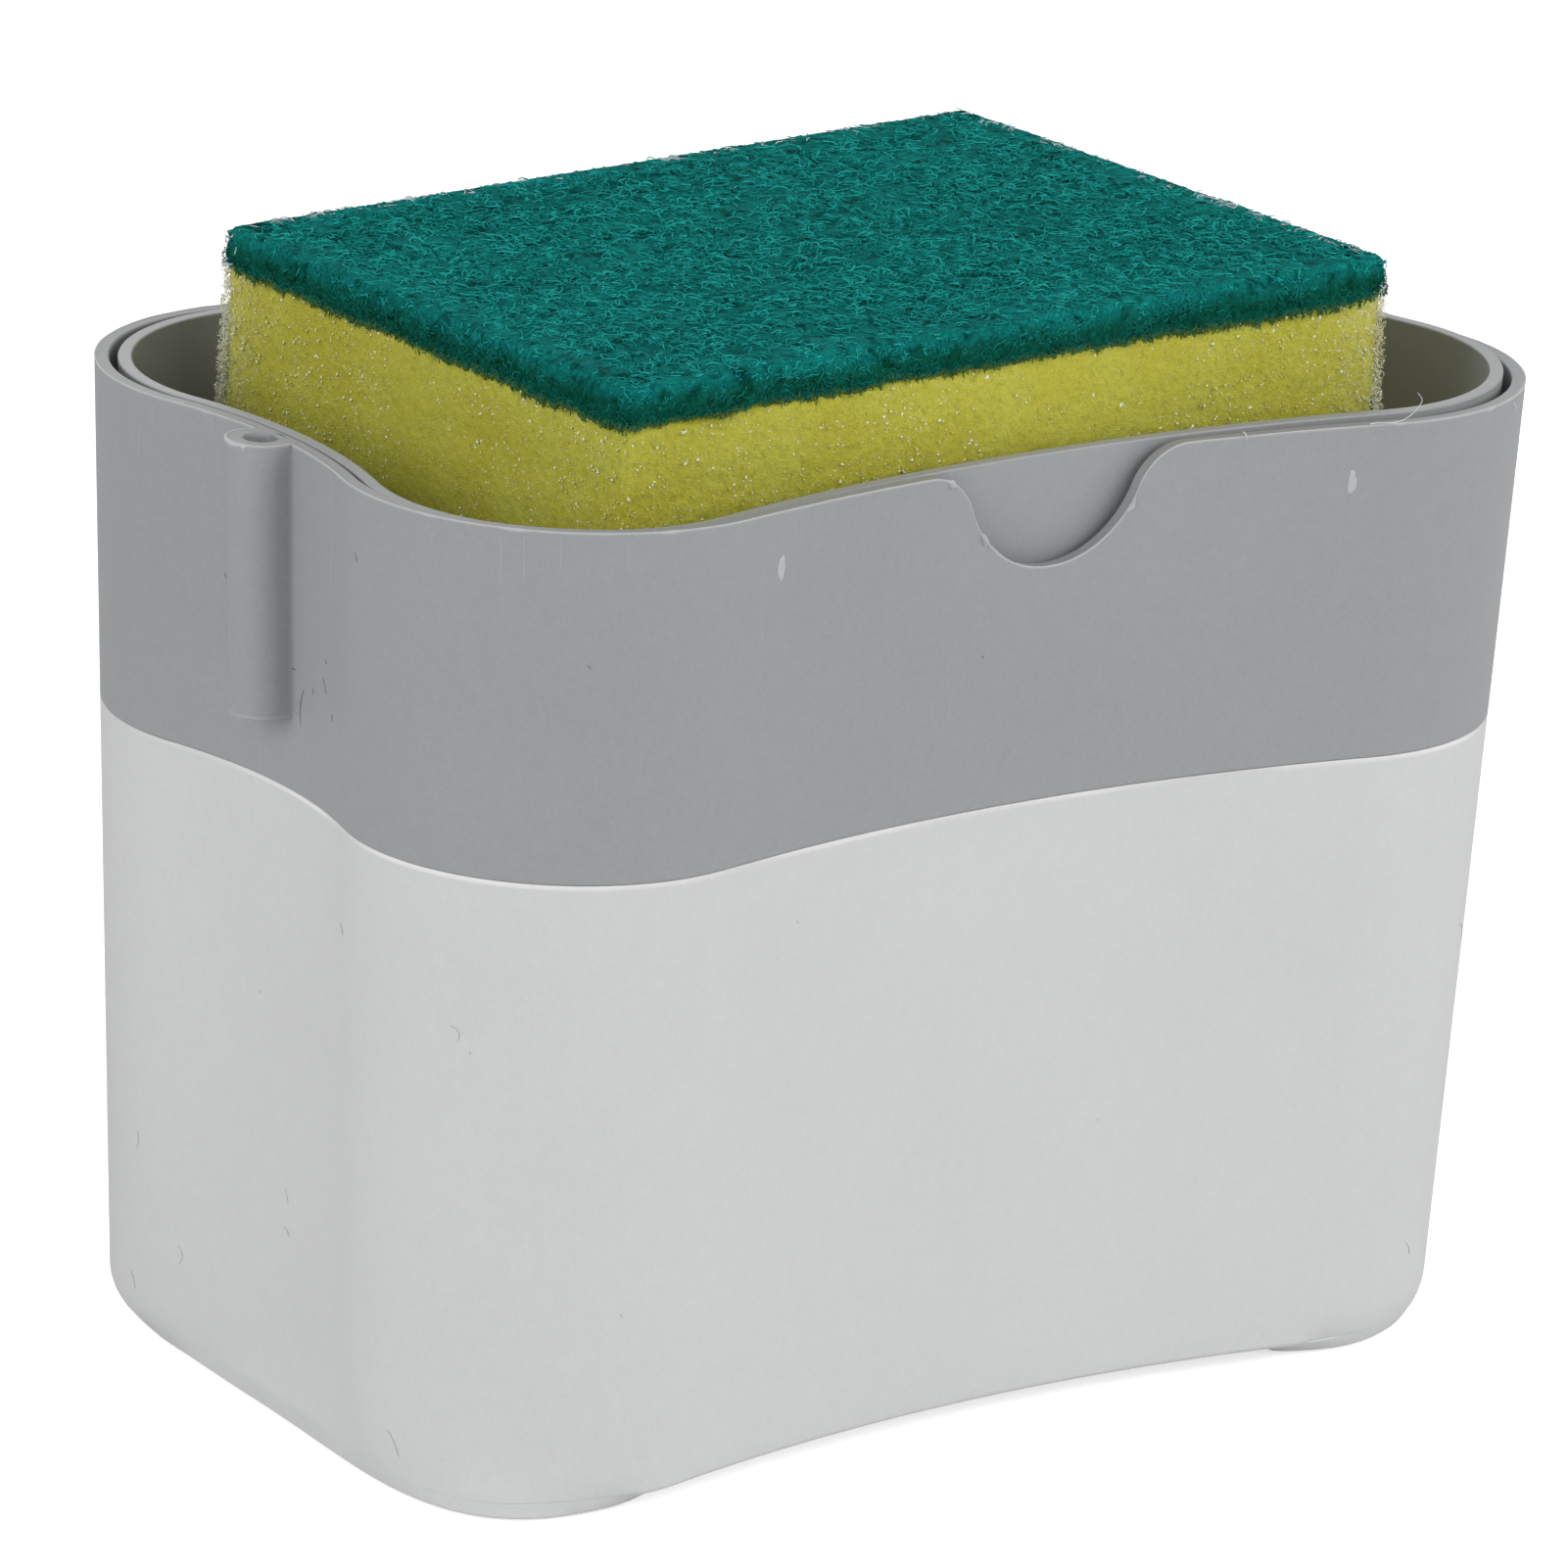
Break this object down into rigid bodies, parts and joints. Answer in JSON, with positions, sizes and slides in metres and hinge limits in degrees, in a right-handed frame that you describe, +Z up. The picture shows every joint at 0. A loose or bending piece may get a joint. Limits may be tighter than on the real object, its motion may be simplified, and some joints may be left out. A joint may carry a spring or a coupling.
{
  "type": "dish soap dispenser",
  "caption": "Countertop dish soap dispenser: a waisted tub with a plug-in collar and a sponge tray that is pressed down to pump soap up into the sponge.",
  "frame": {"origin": "on the ground under the middle of the base, which is the bottom centre of the whole object's box", "axes": "+X along the long side, -Y out of the side with the finger notch, +Z up"},
  "size_m": [0.1432, 0.0928, 0.1168],
  "materials": {
    "pale_plastic": "satin",
    "grey_plastic": "satin",
    "tray_plastic": "satin",
    "pump_plastic": "satin",
    "clear_plastic": "gloss",
    "soft_seal": "matte",
    "spring_steel": "satin",
    "ball_steel": "polished",
    "foam": "matte",
    "scouring_fibre": "matte"
  },
  "bodies": {
    "tub": {"reservoir": "pale_plastic"},
    "collar_unit": {"collar": "grey_plastic", "pump_gasket": "soft_seal", "pump_housing": "pump_plastic", "retaining_cap": "pump_plastic", "stem_guide": "pump_plastic", "ball_cage": "pump_plastic", "dip_tube": "clear_plastic", "return_spring": "spring_steel"},
    "inlet_valve": {"inlet_ball": "ball_steel"},
    "plunger": {"pump_stem": "pump_plastic", "pump_piston": "soft_seal", "stem_plug": "pump_plastic"},
    "outlet_valve": {"outlet_ball": "ball_steel"},
    "tray": {"sponge_tray": "tray_plastic", "outlet_nozzle": "tray_plastic", "nozzle_washer": "soft_seal", "outlet_cap": "tray_plastic"},
    "sponge": {"foam_block": "foam", "scouring_pad": "scouring_fibre"}
  },
  "joints": [
    {"name": "collar_lift_off", "type": "slide", "parent": "tub", "child": "collar_unit", "axis": [0, 0, 1], "range_m": [0, 0.065]},
    {"name": "plunger_press", "type": "slide", "parent": "collar_unit", "child": "plunger", "axis": [0, 0, -1], "range_m": [0, 0.011], "stiffness_N_per_m": 700, "springref_m": -0.012, "deforming": ["return_spring"]},
    {"name": "tray_lift_off", "type": "slide", "parent": "plunger", "child": "tray", "axis": [0, 0, 1], "range_m": [0, 0.042]},
    {"name": "sponge_lift_out", "type": "slide", "parent": "tray", "child": "sponge", "axis": [0, 0, 1], "range_m": [0, 0.03]},
    {"name": "inlet_valve_lift", "type": "slide", "parent": "collar_unit", "child": "inlet_valve", "axis": [0, 0, 1], "range_m": [0, 0.0009]},
    {"name": "outlet_valve_lift", "type": "slide", "parent": "plunger", "child": "outlet_valve", "axis": [0, 0, 1], "range_m": [0, 0.0006]}
  ]
}
